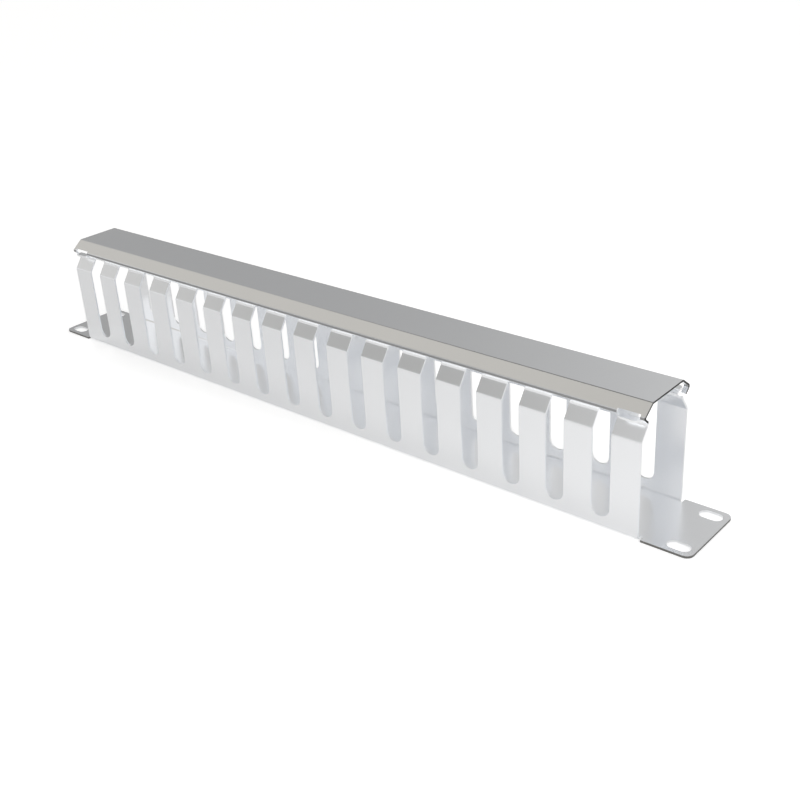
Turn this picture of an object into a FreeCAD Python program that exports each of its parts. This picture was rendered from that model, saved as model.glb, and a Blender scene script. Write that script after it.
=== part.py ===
"""Rack cable duct, one unit high: a folded comb panel with rack ears, and the cover that closes it.

The panel lies on its back: X runs along the rack's width, Y across the unit's height and Z out of the
rack. The origin is at the middle of the back face, which bears on the rack's rails.
"""
import FreeCAD, Part
import math
import os
import Sketcher

# Driving dimensions in millimetres and degrees
SIZES = (
    ("panel_width", 482.6, "length of the panel over both ears"),
    ("panel_height", 44.0, "height of the panel in the rack"),
    ("sheet", 1.2, "sheet of the comb panel"),
    ("fold_radius", 1.2, "inside radius of the panel's folds"),
    ("ear_width", 27.2, "ear from its end to the comb wall"),
    ("ear_corner", 4.0, "rounding of the ear corners"),
    ("rack_slot_length", 12.0, "rack slot from end to end"),
    ("rack_slot_width", 7.0, "rack slot across"),
    ("rack_slot_from_end", 8.75, "slot centre from the panel's end"),
    ("rack_slot_from_edge", 6.125, "slot centre from the panel's long edge"),
    ("wall_setback", 0.2, "comb wall inside the ear's long edge"),
    ("relief_width", 1.5, "notch between an ear and a comb wall"),
    ("relief_margin", 0.4, "notch past the start of the fold"),
    ("finger_count", 17, "fingers in each comb wall"),
    ("gap_width", 10.4, "cable gap between two fingers"),
    ("gap_floor", 6.5, "lowest point of a gap above the back face"),
    ("wall_height", 52.0, "back face to where the fingers lean inward"),
    ("lean_run", 5.0, "how far the fingers lean inward"),
    ("lean_rise", 7.0, "height of the leaning stretch"),
    ("neck_height", 7.3, "straight finger end above the leaning stretch"),
    ("tongue_width", 10.0, "tongue on the end fingers, along the panel"),
    ("tongue_reach", 4.8, "tongue beyond the neck's outer face"),
    ("tongue_rise", 3.5, "tongue's upper face above the leaning stretch"),
    ("tongue_root", 0.4, "straight stub under the tongue's fold"),
    ("tongue_corner", 1.8, "rounding of the tongue's corners"),
    ("cover_sheet", 1.0, "sheet of the cover"),
    ("cover_fold_radius", 0.6, "inside radius of the cover's folds"),
    ("cover_overhang", 0.8, "cover past the comb at each end"),
    ("cover_setback", 0.2, "cover's widest edge inside the comb wall"),
    ("cover_fold_inset", 2.8, "top fold inside the neck's outer face"),
    ("flange_drop", 5.8, "height of the sloping flange"),
    ("lip_angle", 42.0, "lip under the horizontal, in degrees"),
    ("lip_clearance", 0.3, "between a lip and the necks"),
    ("seat_clearance", 0.2, "between the flanges and the neck tops"),
    ("notch_clearance", 1.0, "between a notch and its tongue, each side"),
    ("notch_headroom", 3.0, "notch above the tongue"),
)

# Places that both pieces share, worked out from the driving dimensions
GAP_COUNT = "(Size.finger_count - 1)"
COMB_LENGTH = "(Size.panel_width - 2 * Size.ear_width)"
FINGER_WIDTH = f"(({COMB_LENGTH} - {GAP_COUNT} * Size.gap_width) / Size.finger_count)"
GAP_PITCH = f"({FINGER_WIDTH} + Size.gap_width)"
END_FINGER = f"(({COMB_LENGTH} - {FINGER_WIDTH}) / 2)"
WALL_FACE = "(Size.panel_height / 2 - Size.wall_setback)"
NECK_FACE = f"({WALL_FACE} - Size.lean_run)"
LEAN_TOP = "(Size.wall_height + Size.lean_rise)"
COMB_TOP = f"({LEAN_TOP} + Size.neck_height)"
TONGUE_TOP = f"({LEAN_TOP} + Size.tongue_rise)"
PAST = "2"

doc = FreeCAD.newDocument("rack_cable_duct")


def fill_sheet():
    """The sheet that holds every driving dimension, one row each."""
    sheet = doc.addObject("Spreadsheet::Sheet", "Size")
    for row, (name, value, note) in enumerate(SIZES, start=1):
        sheet.set(f"A{row}", name)
        sheet.set(f"B{row}", str(value))
        sheet.set(f"C{row}", note)
        sheet.setAlias(f"B{row}", name)
    doc.recompute()
    return sheet


def number(expression):
    """What an expression comes to with the sheet's present values."""
    return float(sheet.evalExpression(expression))


def new_body(name):
    """An empty body whose label names its piece."""
    body = doc.addObject("PartDesign::Body", name)
    body.Label = name
    return body


def origin_of(body, role):
    """One of the body's own origin planes or axes."""
    return next(item for item in body.Origin.OriginFeatures if item.Role == role)


def new_sketch(body, name, plane):
    """An empty sketch on one of the body's origin planes."""
    sketch = body.newObject("Sketcher::SketchObject", name)
    sketch.AttachmentSupport = [(origin_of(body, plane), "")]
    sketch.MapMode = "FlatFace"
    return sketch


def bind(sketch, constraint, expression):
    """Add a constraint and tie its value to the sheet."""
    index = sketch.addConstraint(constraint)
    sketch.setExpression(f"Constraints[{index}]", expression)


def pin(sketch, geometry, end, across, up):
    """Hold one point at its two distances from the sketch's origin."""
    bind(sketch, Sketcher.Constraint("DistanceX", -1, 1, geometry, end, number(across)), across)
    bind(sketch, Sketcher.Constraint("DistanceY", -1, 1, geometry, end, number(up)), up)


def point(across, up):
    """A place in a sketch from two expressions."""
    return FreeCAD.Vector(number(across), number(up), 0)


def arc(centre, radius, start, end):
    """An arc in a sketch, from one angle to another."""
    return Part.ArcOfCircle(Part.Circle(centre, FreeCAD.Vector(0, 0, 1), radius), start, end)


def join_in_ring(sketch, first, count):
    """Join each of some lines and arcs to the one after it, and the last to the first."""
    for step in range(count):
        following = first + (step + 1) % count
        sketch.addConstraint(Sketcher.Constraint("Coincident", first + step, 2, following, 1))


def draw_outline(sketch, corners):
    """A closed outline of straight lines through pinned corners."""
    first = sketch.GeometryCount
    points = [point(across, up) for across, up in corners]
    for start, end in zip(points, points[1:] + points[:1]):
        sketch.addGeometry(Part.LineSegment(start, end), False)
    join_in_ring(sketch, first, len(corners))
    for line, (across, up) in enumerate(corners, start=first):
        pin(sketch, line, 1, across, up)


def draw_rectangle(sketch, left, right, low, high):
    """A closed rectangle between two expressions each way."""
    draw_outline(sketch, [(left, low), (right, low), (right, high), (left, high)])


def draw_round_slot(sketch, middle, level, length, width):
    """A slot with round ends whose long axis lies across the sketch."""
    half_run = f"(({length} - {width}) / 2)"
    half_width = f"({width} / 2)"
    left, right = f"{middle} - {half_run}", f"{middle} + {half_run}"
    low, high = f"{level} - {half_width}", f"{level} + {half_width}"
    first = sketch.GeometryCount
    quarter = math.pi / 2
    sketch.addGeometry(Part.LineSegment(point(left, low), point(right, low)), False)
    sketch.addGeometry(arc(point(right, level), number(half_width), -quarter, quarter), False)
    sketch.addGeometry(Part.LineSegment(point(right, high), point(left, high)), False)
    sketch.addGeometry(arc(point(left, level), number(half_width), quarter, 3 * quarter), False)
    join_in_ring(sketch, first, 4)
    pin(sketch, first, 1, left, low)
    pin(sketch, first, 2, right, low)
    pin(sketch, first + 2, 1, right, high)
    pin(sketch, first + 2, 2, left, high)
    for end, across in ((first + 1, right), (first + 3, left)):
        bind(sketch, Sketcher.Constraint("DistanceX", -1, 1, end, 3, number(across)), across)


def draw_open_gap(sketch, middle, floor, width, top):
    """A gap with straight sides, a half-round floor and an open top."""
    radius = f"({width} / 2)"
    level = f"({floor} + {radius})"
    left, right = f"{middle} - {radius}", f"{middle} + {radius}"
    corners = ((right, level), (right, top), (left, top), (left, level))
    points = [point(across, up) for across, up in corners]
    for start, end in zip(points, points[1:]):
        sketch.addGeometry(Part.LineSegment(start, end), False)
    sketch.addGeometry(arc(point(middle, level), number(radius), math.pi, 2 * math.pi), False)
    join_in_ring(sketch, 0, 4)
    for line, (across, up) in enumerate(corners[:3]):
        pin(sketch, line, 1, across, up)
    pin(sketch, 2, 2, *corners[3])
    bind(sketch, Sketcher.Constraint("DistanceY", -1, 1, 3, 3, number(level)), level)


def pad(body, name, sketch, length, symmetric=False):
    """Raise a sketch by a length, to one side or evenly to both."""
    feature = body.newObject("PartDesign::Pad", name)
    feature.Profile = sketch
    feature.SideType = "Symmetric" if symmetric else "One side"
    feature.setExpression("Length", length)
    doc.recompute()
    return feature


def cut_through(body, name, sketch):
    """Cut a sketch right through the body, both ways, and make sure that it took material away."""
    before = body.Shape.Volume
    feature = body.newObject("PartDesign::Pocket", name)
    feature.Profile = sketch
    feature.Type = "ThroughAll"
    feature.SideType = "Symmetric"
    doc.recompute()
    if body.Shape.Volume > before - 1e-6:
        raise RuntimeError(f"{name} cut nothing")
    return feature


def mirror_ends(body, name, features):
    """Repeat features of the right end at the left end."""
    feature = body.newObject("PartDesign::Mirrored", name)
    feature.Originals = features
    feature.MirrorPlane = (origin_of(body, "YZ_Plane"), [""])
    body.Tip = feature
    doc.recompute()
    return feature


def round_edges(body, name, radius, is_wanted):
    """Round every edge of the body that the test picks."""
    base = body.Tip
    wanted = [f"Edge{n}" for n, edge in enumerate(base.Shape.Edges, start=1) if is_wanted(edge)]
    if not wanted:
        raise RuntimeError(f"{name} found no edge")
    feature = body.newObject("PartDesign::Fillet", name)
    feature.Base = (base, wanted)
    feature.setExpression("Radius", radius)
    doc.recompute()
    return feature


def runs_along(edge, axis):
    """Whether an edge is straight and parallel to an axis."""
    if not isinstance(edge.Curve, Part.Line):
        return False
    return abs(abs(edge.Curve.Direction.dot(axis)) - 1) < 1e-6


def on_folds(corners):
    """A test for lengthwise edges that lie on given corners of the section, on either side."""
    places = [(number(across), number(up)) for across, up in corners]

    def is_wanted(edge):
        if not runs_along(edge, FreeCAD.Vector(1, 0, 0)):
            return False
        middle = edge.CenterOfMass
        return any(abs(abs(middle.y) - y) < 1e-4 and abs(middle.z - z) < 1e-4 for y, z in places)

    return is_wanted


def both_sides(half):
    """A closed section from its half at positive Y: out along it, then back along its mirror image."""
    mirrored = [(f"-{across}", up) for across, up in reversed(half)]
    return half + mirrored


def comb_panel():
    """Back plate with ears, and the two comb walls folded up from it."""
    body = new_body("comb_panel")

    plate = new_sketch(body, "plate_outline", "XY_Plane")
    half_width = "(Size.panel_width / 2)"
    half_height = "(Size.panel_height / 2)"
    draw_rectangle(plate, f"-{half_width}", half_width, f"-{half_height}", half_height)
    pad(body, "back_plate", plate, "Size.sheet")
    upright = FreeCAD.Vector(0, 0, 1)
    round_edges(body, "ear_corners", "Size.ear_corner", lambda edge: runs_along(edge, upright))

    slots = new_sketch(body, "rack_slot_outlines", "XY_Plane")
    slot_across = "(Size.panel_width / 2 - Size.rack_slot_from_end)"
    slot_up = "(Size.panel_height / 2 - Size.rack_slot_from_edge)"
    for across in (f"-{slot_across}", slot_across):
        for up in (f"-{slot_up}", slot_up):
            draw_round_slot(slots, across, up, "Size.rack_slot_length", "Size.rack_slot_width")
    cut_through(body, "rack_slots", slots)

    relief = new_sketch(body, "fold_relief_outlines", "XY_Plane")
    relief_end = f"({COMB_LENGTH} / 2 + Size.relief_width)"
    relief_floor = f"({WALL_FACE} - Size.sheet - Size.fold_radius - Size.relief_margin)"
    relief_mouth = f"(Size.panel_height / 2 + {PAST})"
    draw_rectangle(relief, f"-{relief_end}", relief_end, relief_floor, relief_mouth)
    draw_rectangle(relief, f"-{relief_end}", relief_end, f"-{relief_mouth}", f"-{relief_floor}")
    cut_through(body, "fold_relief", relief)

    inner_wall = f"({WALL_FACE} - Size.sheet)"
    inner_neck = f"({NECK_FACE} - Size.sheet)"
    fold_shift = "Size.sheet * tan(atan(Size.lean_run / Size.lean_rise) / 2)"
    lean_foot_inside = f"(Size.wall_height - {fold_shift})"
    lean_top_inside = f"({LEAN_TOP} - {fold_shift})"
    section = new_sketch(body, "comb_section", "YZ_Plane")
    draw_outline(section, both_sides([
        (WALL_FACE, "0"),
        (WALL_FACE, "Size.wall_height"),
        (NECK_FACE, LEAN_TOP),
        (NECK_FACE, COMB_TOP),
        (inner_neck, COMB_TOP),
        (inner_neck, lean_top_inside),
        (inner_wall, lean_foot_inside),
        (inner_wall, "Size.sheet"),
    ]))
    pad(body, "comb_walls", section, COMB_LENGTH, symmetric=True)
    outside_folds = [(WALL_FACE, "0"), (WALL_FACE, "Size.wall_height"), (inner_neck, lean_top_inside)]
    inside_folds = [(inner_wall, "Size.sheet"), (inner_wall, lean_foot_inside), (NECK_FACE, LEAN_TOP)]
    round_edges(body, "folds_outside", "Size.fold_radius + Size.sheet", on_folds(outside_folds))
    round_edges(body, "folds_inside", "Size.fold_radius", on_folds(inside_folds))

    gap = new_sketch(body, "first_gap_outline", "XZ_Plane")
    first_gap = f"(-({GAP_COUNT} - 1) / 2 * {GAP_PITCH})"
    draw_open_gap(gap, first_gap, "Size.gap_floor", "Size.gap_width", f"({COMB_TOP} + {PAST})")
    first = cut_through(body, "first_gap", gap)
    row = body.newObject("PartDesign::LinearPattern", "gap_row")
    row.Originals = [first]
    row.Direction = (origin_of(body, "X_Axis"), [""])
    row.setExpression("Length", f"({GAP_COUNT} - 1) * {GAP_PITCH}")
    row.setExpression("Occurrences", GAP_COUNT)
    body.Tip = row
    doc.recompute()

    end_tongues(body, inner_neck)
    return body


def end_tongues(body, inner_neck):
    """The necks of the four end fingers, cut short and turned outward as tongues."""
    under_tongue = f"({TONGUE_TOP} - Size.sheet)"
    stub_top = f"({under_tongue} - Size.fold_radius - Size.tongue_root)"
    tip = f"({NECK_FACE} + Size.tongue_reach)"

    shortening = new_sketch(body, "neck_cut_outline", "XZ_Plane")
    beside_finger = f"({COMB_LENGTH} / 2 - {FINGER_WIDTH} - Size.gap_width / 2)"
    past_end = f"({COMB_LENGTH} / 2 + {PAST})"
    draw_rectangle(shortening, beside_finger, past_end, stub_top, f"({COMB_TOP} + {PAST})")
    neck_cut = cut_through(body, "neck_cut", shortening)

    section = new_sketch(body, "tongue_section", "YZ_Plane")
    section.setExpression("AttachmentOffset.Base.z", END_FINGER)
    for side in ("", "-"):
        draw_outline(section, [
            (f"{side}{inner_neck}", stub_top),
            (f"{side}{NECK_FACE}", stub_top),
            (f"{side}{NECK_FACE}", under_tongue),
            (f"{side}{tip}", under_tongue),
            (f"{side}{tip}", TONGUE_TOP),
            (f"{side}{inner_neck}", TONGUE_TOP),
        ])
    tongues = pad(body, "tongues", section, "Size.tongue_width", symmetric=True)
    mirror_ends(body, "tongues_both_ends", [neck_cut, tongues])

    tip_place = number(tip)

    def is_tip_corner(edge):
        return runs_along(edge, FreeCAD.Vector(0, 0, 1)) and abs(abs(edge.CenterOfMass.y) - tip_place) < 1e-4

    outside_fold = on_folds([(inner_neck, TONGUE_TOP)])
    inside_fold = on_folds([(NECK_FACE, under_tongue)])
    round_edges(body, "tongue_corners", "Size.tongue_corner", is_tip_corner)
    round_edges(body, "tongue_folds_outside", "Size.fold_radius + Size.sheet", outside_fold)
    round_edges(body, "tongue_folds_inside", "Size.fold_radius", inside_fold)


def cover():
    """Flat top with a sloping flange and an inward lip along each side, notched over the tongues."""
    body = new_body("cover")

    top_fold = f"({NECK_FACE} - Size.cover_fold_inset)"
    wide_edge = f"({WALL_FACE} - Size.cover_setback)"
    slope = f"atan(Size.flange_drop / ({wide_edge} - {top_fold}))"
    rise_to_fold = f"(Size.cover_fold_inset * tan({slope}) + Size.cover_sheet / cos({slope}))"
    cover_top = f"({COMB_TOP} + Size.seat_clearance + {rise_to_fold})"
    edge_level = f"({cover_top} - Size.flange_drop)"
    lip_run = f"({wide_edge} - {NECK_FACE} - Size.lip_clearance - Size.cover_sheet * sin(Size.lip_angle))"
    lip_end = f"({wide_edge} - {lip_run})"
    lip_level = f"({edge_level} - {lip_run} * tan(Size.lip_angle))"
    corner_depth = f"(Size.cover_sheet / sin(({slope} + Size.lip_angle * 1 deg) / 2))"
    corner_tilt = f"(({slope} - Size.lip_angle * 1 deg) / 2)"
    inner_top_fold = f"({top_fold} - Size.cover_sheet * tan({slope} / 2))"
    inner_edge = f"({wide_edge} - {corner_depth} * cos({corner_tilt}))"
    inner_edge_level = f"({edge_level} + {corner_depth} * sin({corner_tilt}))"
    inner_lip_end = f"({lip_end} - Size.cover_sheet * sin(Size.lip_angle))"
    inner_lip_level = f"({lip_level} + Size.cover_sheet * cos(Size.lip_angle))"
    under_top = f"({cover_top} - Size.cover_sheet)"

    section = new_sketch(body, "cover_section", "YZ_Plane")
    draw_outline(section, both_sides([
        (top_fold, cover_top),
        (wide_edge, edge_level),
        (lip_end, lip_level),
        (inner_lip_end, inner_lip_level),
        (inner_edge, inner_edge_level),
        (inner_top_fold, under_top),
    ]))
    pad(body, "cover_sheet", section, f"{COMB_LENGTH} + 2 * Size.cover_overhang", symmetric=True)
    outside_folds = [(top_fold, cover_top), (wide_edge, edge_level)]
    inside_folds = [(inner_top_fold, under_top), (inner_edge, inner_edge_level)]
    round_edges(body, "folds_outside", "Size.cover_fold_radius + Size.cover_sheet", on_folds(outside_folds))
    round_edges(body, "folds_inside", "Size.cover_fold_radius", on_folds(inside_folds))

    notch = new_sketch(body, "notch_outline", "XZ_Plane")
    half_notch = "(Size.tongue_width / 2 + Size.notch_clearance)"
    notch_left = f"({END_FINGER} - {half_notch})"
    notch_right = f"({END_FINGER} + {half_notch})"
    notch_top = f"({TONGUE_TOP} + Size.notch_headroom)"
    draw_rectangle(notch, notch_left, notch_right, f"({lip_level} - {PAST})", notch_top)
    notches = cut_through(body, "notches", notch)
    mirror_ends(body, "notches_both_ends", [notches])
    return body


def write_pieces(pieces):
    """Check that everything was made, then write one file for each piece."""
    for item in doc.Objects:
        if "Invalid" in item.State or "Error" in item.State:
            raise RuntimeError(f"{item.Label} failed: {item.State}")
    for piece in pieces:
        if piece.Shape.isNull() or not piece.Shape.isValid():
            raise RuntimeError(f"{piece.Label} has no sound shape")
    os.makedirs("parts", exist_ok=True)
    for piece in pieces:
        piece.Shape.exportStep(f"parts/{piece.Label}.step")


sheet = fill_sheet()
pieces = [comb_panel(), cover()]
doc.recompute()
write_pieces(pieces)
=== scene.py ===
"""Looks of a rack cable duct: folded zinc-plated sheet steel lying on a white table."""

import math

import bmesh
import bpy
from mathutils import Matrix, Vector


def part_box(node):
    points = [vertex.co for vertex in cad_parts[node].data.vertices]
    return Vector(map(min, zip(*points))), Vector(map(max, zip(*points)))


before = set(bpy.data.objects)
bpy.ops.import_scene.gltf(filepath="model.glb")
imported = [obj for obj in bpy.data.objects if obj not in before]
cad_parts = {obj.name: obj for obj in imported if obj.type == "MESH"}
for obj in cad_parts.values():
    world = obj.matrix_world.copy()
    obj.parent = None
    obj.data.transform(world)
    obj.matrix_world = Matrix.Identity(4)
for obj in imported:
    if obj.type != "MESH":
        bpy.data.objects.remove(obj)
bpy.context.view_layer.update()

MM = 0.001


def linear(hex_colour):
    """A colour written as sRGB hex, as the linear numbers that shaders take."""
    levels = [int(hex_colour[start:start + 2], 16) / 255 for start in (1, 3, 5)]
    return [v / 12.92 if v <= 0.04045 else ((v + 0.055) / 1.055) ** 2.4 for v in levels] + [1.0]


def add_node(tree, kind, inputs, **settings):
    """Adds a node with its settings. An input is a plain value, or the socket that feeds it."""
    node = tree.nodes.new(kind)
    for name, value in settings.items():
        setattr(node, name, value)
    for name, value in inputs.items():
        if isinstance(value, bpy.types.NodeSocket):
            tree.links.new(value, node.inputs[name])
        else:
            node.inputs[name].default_value = value
    return node


def calculate(tree, operation, *values):
    """One step of arithmetic on plain numbers or on the sockets that give them."""
    return add_node(tree, "ShaderNodeMath", dict(enumerate(values)), operation=operation).outputs["Value"]


# Finish

# Zinc-plated steel sheet, bright and clear passivated. It is a soft mirror: each plane takes the tone of
# what it faces, blurred, with faint marks along the roll and a grey that is never quite even.
ZINC_GREY = "#F4F5F7"
ZINC_PALE = "#F8F9FA"
ZINC_ROUGHNESS = 0.26
ROUGHNESS_SPREAD = 0.01
# The ears and the cover's ends are sheared after plating, so their rims are bare steel, duller and darker.
# Their greys are set darker still, as painted shade: a painted contact shadow along the ears' rims and a
# near-black painted shadow line on the cover's ends. The rack slots are punched before plating and stay
# bright.
# Along the sharp fold at the cover's widest edge the upright faces are darkened as painted shade and made
# rougher, which draws a thin dark line there.
PANEL_EDGE_AND_SHADE_GREY = "#858481"
COVER_EDGE_AND_SHADE_GREY = "#3E3D3C"
BARE_ROUGHNESS = 0.5
BARE_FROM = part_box("cover")[1][0] - 0.3 * MM
RIM_WIDTH = 2.3 * MM
# How strongly the crease takes the dark edge grey, as painted shade, and the rim's roughness.
CREASE_SHADE_SHARE = 0.68
# How far a face is from level, where it begins to be part of a rim and where it is one for certain.
RIM_FACING = (0.7, 0.4)
# How upright a face is, where the painted shade along the crease begins and where it is full.
CREASE_SHADE_FACING = (0.86, 0.95)
CLOUD_SIZE = 38 * MM
# Roll marks are about 0.05 mm wide. They are drawn at 0.7 mm, the finest that shows. Where they are strong
# the sheet is a little duller.
ROLL_MARK_WIDTH = 0.7 * MM
ROLL_MARK_LENGTH = 45 * MM
ROLL_MARK_RANGE = (0.3, 0.7)
EDGE_ROUNDING = 0.2 * MM
EDGE_SAMPLES = 6


def zinc_plated_sheet(name, piece, edge_and_shade_grey, painted_crease):
    """The finish of one sheet, with a bare rim darkened as painted shade and, if asked, a painted shade
    fold line.
    """
    half_length, half_height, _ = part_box(piece)[1]
    material = bpy.data.materials.new(name)
    material.use_nodes = True
    tree = material.node_tree
    shader = tree.nodes["Principled BSDF"]
    place = add_node(tree, "ShaderNodeTexCoord", {}).outputs["Object"]

    clouds = add_node(tree, "ShaderNodeTexNoise", {"Vector": place, "Scale": 1 / CLOUD_SIZE, "Detail": 3.0})
    sheet_colour = add_node(
        tree, "ShaderNodeMix",
        {"Factor": clouds.outputs["Fac"], "A": linear(ZINC_GREY), "B": linear(ZINC_PALE)},
        data_type="RGBA")

    along_roll = add_node(
        tree, "ShaderNodeMapping",
        {"Vector": place, "Scale": (1 / ROLL_MARK_LENGTH, 1 / ROLL_MARK_WIDTH, 1 / ROLL_MARK_WIDTH)})
    roll_marks = add_node(
        tree, "ShaderNodeTexNoise", {"Vector": along_roll.outputs["Vector"], "Scale": 1.0, "Detail": 2.0})
    sheet_roughness = add_node(
        tree, "ShaderNodeMapRange",
        {"Value": roll_marks.outputs["Fac"], "From Min": ROLL_MARK_RANGE[0], "From Max": ROLL_MARK_RANGE[1],
         "To Min": ZINC_ROUGHNESS - ROUGHNESS_SPREAD, "To Max": ZINC_ROUGHNESS + ROUGHNESS_SPREAD})

    facing = add_node(tree, "ShaderNodeNewGeometry", {}).outputs["True Normal"]
    facing_parts = add_node(tree, "ShaderNodeSeparateXYZ", {"Vector": facing})
    place_parts = add_node(tree, "ShaderNodeSeparateXYZ", {"Vector": place})
    along = calculate(tree, "ABSOLUTE", place_parts.outputs["X"])
    across = calculate(tree, "ABSOLUTE", place_parts.outputs["Y"])
    at_end = calculate(tree, "GREATER_THAN", along, half_length - RIM_WIDTH)
    at_side = calculate(tree, "GREATER_THAN", across, half_height - RIM_WIDTH)
    past_comb = calculate(tree, "GREATER_THAN", along, BARE_FROM)
    rim = calculate(tree, "MULTIPLY", calculate(tree, "MAXIMUM", at_end, at_side), past_comb)
    level = calculate(tree, "ABSOLUTE", facing_parts.outputs["Z"])
    # Rim faces that are not level take the edge grey: bare steel, darkened further as painted shade.
    sheared_and_shaded = add_node(
        tree, "ShaderNodeMapRange",
        {"Value": level, "From Min": RIM_FACING[0], "From Max": RIM_FACING[1], "To Max": rim})
    bare_rim_and_painted_shade = sheared_and_shaded.outputs["Result"]
    if painted_crease:
        # Painted shade: the upright faces along the cover's fold are darkened into a thin dark line.
        upright = calculate(tree, "ABSOLUTE", facing_parts.outputs["Y"])
        painted_crease_shade = add_node(
            tree, "ShaderNodeMapRange",
            {"Value": upright, "From Min": CREASE_SHADE_FACING[0], "From Max": CREASE_SHADE_FACING[1],
             "To Max": CREASE_SHADE_SHARE})
        bare_rim_and_painted_shade = calculate(tree, "MAXIMUM", bare_rim_and_painted_shade, painted_crease_shade.outputs["Result"])

    colour = add_node(
        tree, "ShaderNodeMix",
        {"Factor": bare_rim_and_painted_shade, "A": sheet_colour.outputs["Result"], "B": linear(edge_and_shade_grey)}, data_type="RGBA")
    roughness = add_node(
        tree, "ShaderNodeMix",
        {"Factor": bare_rim_and_painted_shade, "A": sheet_roughness.outputs["Result"], "B": BARE_ROUGHNESS})
    rounding = add_node(tree, "ShaderNodeBevel", {"Radius": EDGE_ROUNDING}, samples=EDGE_SAMPLES)

    tree.links.new(colour.outputs["Result"], shader.inputs["Base Color"])
    tree.links.new(roughness.outputs["Result"], shader.inputs["Roughness"])
    tree.links.new(rounding.outputs["Normal"], shader.inputs["Normal"])
    shader.inputs["Metallic"].default_value = 1.0
    return material


finishes = {
    "comb_panel": zinc_plated_sheet("zinc_plated_panel", "comb_panel", PANEL_EDGE_AND_SHADE_GREY, painted_crease=False),
    "cover": zinc_plated_sheet("zinc_plated_cover", "cover", COVER_EDGE_AND_SHADE_GREY, painted_crease=True),
}
for node_name, finish in finishes.items():
    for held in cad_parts[node_name].material_slots:
        held.material = finish


# White surroundings

# Between one mirroring and two.
MIRRORED_ONCE = 1.5


def white_rays(tree):
    """The rays that see plain white: the camera's own, and those that the steel has mirrored twice or more.

    The second kind lights the inside of the duct and keeps it pale."""
    ray = add_node(tree, "ShaderNodeLightPath", {}).outputs
    mirrored_again = calculate(tree, "GREATER_THAN", ray["Glossy Depth"], MIRRORED_ONCE)
    return calculate(tree, "MULTIPLY_ADD", mirrored_again, ray["Is Glossy Ray"], ray["Is Camera Ray"])


# Table

TABLE_WHITE = "#F4F4F4"
TABLE_REACH = 6.0
TABLE_DROP = 0.1 * MM
PAPER_ROUGHNESS = 0.9
# Added to the lit paper, this makes it a clear white that still keeps the shadow of the duct.
PAPER_LIFT = "#A4A4A4"


def white_table():
    shape = bmesh.new()
    bmesh.ops.create_grid(shape, x_segments=1, y_segments=1, size=TABLE_REACH)
    bmesh.ops.translate(shape, verts=shape.verts, vec=(0, 0, -TABLE_DROP))
    mesh = bpy.data.meshes.new("white_table")
    shape.to_mesh(mesh)
    shape.free()
    table = bpy.data.objects.new("white_table", mesh)
    bpy.context.scene.collection.objects.link(table)

    paper = bpy.data.materials.new("white_paper")
    paper.use_nodes = True
    tree = paper.node_tree
    shader = tree.nodes["Principled BSDF"]
    tree.links.new(white_rays(tree), shader.inputs["Emission Strength"])
    shader.inputs["Emission Color"].default_value = linear(PAPER_LIFT)
    shader.inputs["Base Color"].default_value = linear(TABLE_WHITE)
    shader.inputs["Roughness"].default_value = PAPER_ROUGHNESS
    mesh.materials.append(paper)


white_table()


# Studio light

ROOM_GREY = "#E8E8E8"
PLAIN_WHITE = "#FFFFFF"
# Soft screens in the room, which give the bright planes their tone. Each is given by its azimuth from the
# back to the right, its elevation, the angles at which it begins to fade and is gone, and its colour.
SCREENS = (
    (0, 90, 20, 62, "#8C8C8C"),
    (-106, 50, 18, 35, "#C8C5BF"),
    (-56, 14, 2, 45, "#A4A4A4"),
    (-137, 28, 3, 15, "#9C9C9B"),
    (-60, 58, 5, 20, "#606060"),
)
# Two lamps light the table. The steel mirrors the table and the room, but not these lamps.
# A square lamp near the right end: azimuth and elevation as for the screens, distance and size in metres,
# and brightness.
SOFTBOX = (118, 40, 0.6, 0.6, 1.1)
# A broad light from the left, for the soft shadow: azimuth, elevation, strength and spread.
SHADOW_LIGHT = (-65, 57, 0.75, 28)
# A weak strip low behind the duct, which only the steel mirrors: the back plate between the fingers comes
# out paler. Place of its middle, length, height and brightness.
BACK_STRIP = (Vector((-14, 60, 47)) * MM, 372 * MM, 50 * MM, 0.2)
# Light bounces to and fro between the bright walls inside the duct.
MIRROR_BOUNCES = 12


def direction(azimuth, elevation):
    """The way to a place in the room."""
    turn = math.radians(azimuth)
    rise = math.radians(elevation)
    return Vector((math.sin(turn) * math.cos(rise), math.cos(turn) * math.cos(rise), math.sin(rise)))


def hang(lamp, azimuth, elevation, distance):
    """Puts a lamp in the room, turned towards the object."""
    towards = direction(azimuth, elevation)
    holder = bpy.data.objects.new(lamp.name, lamp)
    holder.location = towards * distance
    holder.rotation_euler = towards.to_track_quat("Z", "Y").to_euler()
    holder.visible_camera = False
    holder.visible_glossy = False
    bpy.context.scene.collection.objects.link(holder)


def softbox(azimuth, elevation, distance, size, brightness):
    lamp = bpy.data.lights.new("softbox", "AREA")
    lamp.shape = "SQUARE"
    lamp.size = size
    lamp.energy = brightness * math.pi * size * size
    hang(lamp, azimuth, elevation, distance)


def shadow_light(azimuth, elevation, strength, spread):
    lamp = bpy.data.lights.new("shadow_light", "SUN")
    lamp.energy = strength
    lamp.angle = math.radians(spread)
    hang(lamp, azimuth, elevation, 1.0)


def back_strip(middle, length, height, brightness):
    lamp = bpy.data.lights.new("back_strip", "AREA")
    lamp.shape = "RECTANGLE"
    lamp.size = length
    lamp.size_y = height
    lamp.energy = brightness * math.pi * length * height
    holder = bpy.data.objects.new("back_strip", lamp)
    holder.location = middle
    holder.rotation_euler = (math.radians(-90), 0, 0)
    holder.visible_camera = False
    holder.visible_diffuse = False
    bpy.context.scene.collection.objects.link(holder)


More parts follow.
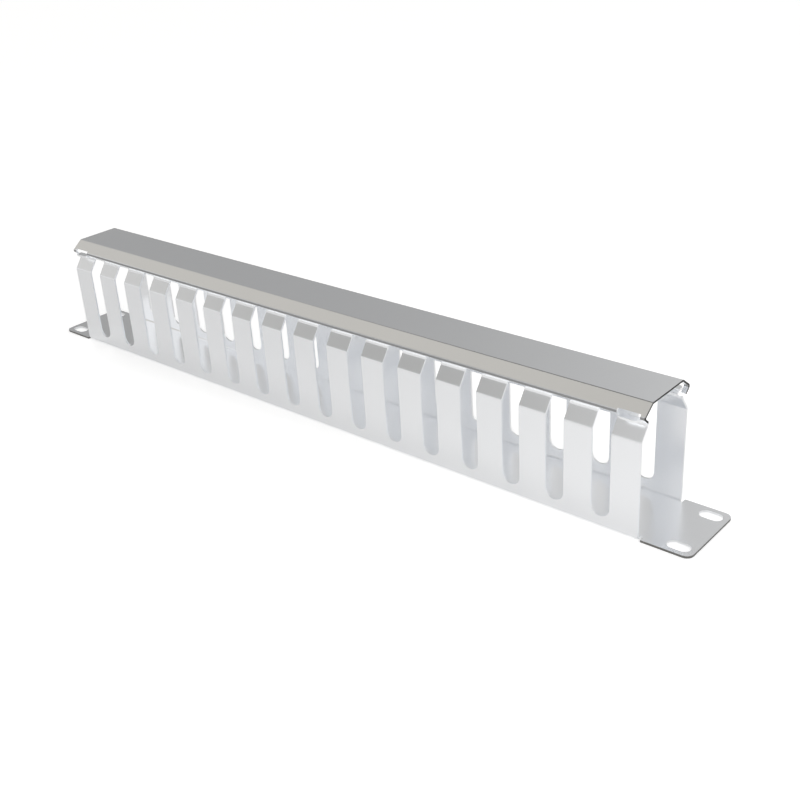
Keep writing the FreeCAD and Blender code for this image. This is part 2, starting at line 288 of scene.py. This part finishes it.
def studio_room():
    world = bpy.data.worlds.new("studio_room")
    world.use_nodes = True
    bpy.context.scene.world = world
    tree = world.node_tree
    background = tree.nodes["Background"]
    looking = add_node(tree, "ShaderNodeTexCoord", {}).outputs["Generated"]
    colour = linear(ROOM_GREY)
    for azimuth, elevation, full, gone, screen_colour in SCREENS:
        nearness = add_node(
            tree, "ShaderNodeVectorMath",
            {0: looking, 1: direction(azimuth, elevation)}, operation="DOT_PRODUCT")
        share = add_node(
            tree, "ShaderNodeMapRange",
            {"Value": nearness.outputs["Value"],
             "From Min": math.cos(math.radians(gone)), "From Max": math.cos(math.radians(full))},
            interpolation_type="SMOOTHSTEP")
        colour = add_node(
            tree, "ShaderNodeMix",
            {"Factor": share.outputs["Result"], "A": colour, "B": linear(screen_colour)},
            data_type="RGBA").outputs["Result"]
    seen = add_node(
        tree, "ShaderNodeMix",
        {"Factor": white_rays(tree), "A": colour, "B": linear(PLAIN_WHITE)}, data_type="RGBA")
    tree.links.new(seen.outputs["Result"], background.inputs["Color"])


studio_room()
softbox(*SOFTBOX)
shadow_light(*SHADOW_LIGHT)
back_strip(*BACK_STRIP)
bpy.context.scene.cycles.glossy_bounces = MIRROR_BOUNCES


# Camera

CAMERA_AT = Vector((435.5, -426.5, 307.4)) * MM
CAMERA_AZIMUTH = 42.06
CAMERA_ELEVATION = 26.69
CAMERA_ROLL = -3.67
CAMERA_LENS = 51.72
CAMERA_SENSOR = 36.0
CAMERA_NEAREST = 10 * MM


def place_camera():
    camera = bpy.data.cameras.new("camera")
    camera.lens = CAMERA_LENS
    camera.sensor_width = CAMERA_SENSOR
    camera.clip_start = CAMERA_NEAREST
    holder = bpy.data.objects.new("camera", camera)
    holder.matrix_world = (
        Matrix.Translation(CAMERA_AT)
        @ Matrix.Rotation(math.radians(CAMERA_AZIMUTH), 4, "Z")
        @ Matrix.Rotation(math.radians(90 - CAMERA_ELEVATION), 4, "X")
        @ Matrix.Rotation(math.radians(CAMERA_ROLL), 4, "Z"))
    bpy.context.scene.collection.objects.link(holder)
    bpy.context.scene.camera = holder


place_camera()
bpy.context.scene.view_settings.view_transform = "Standard"
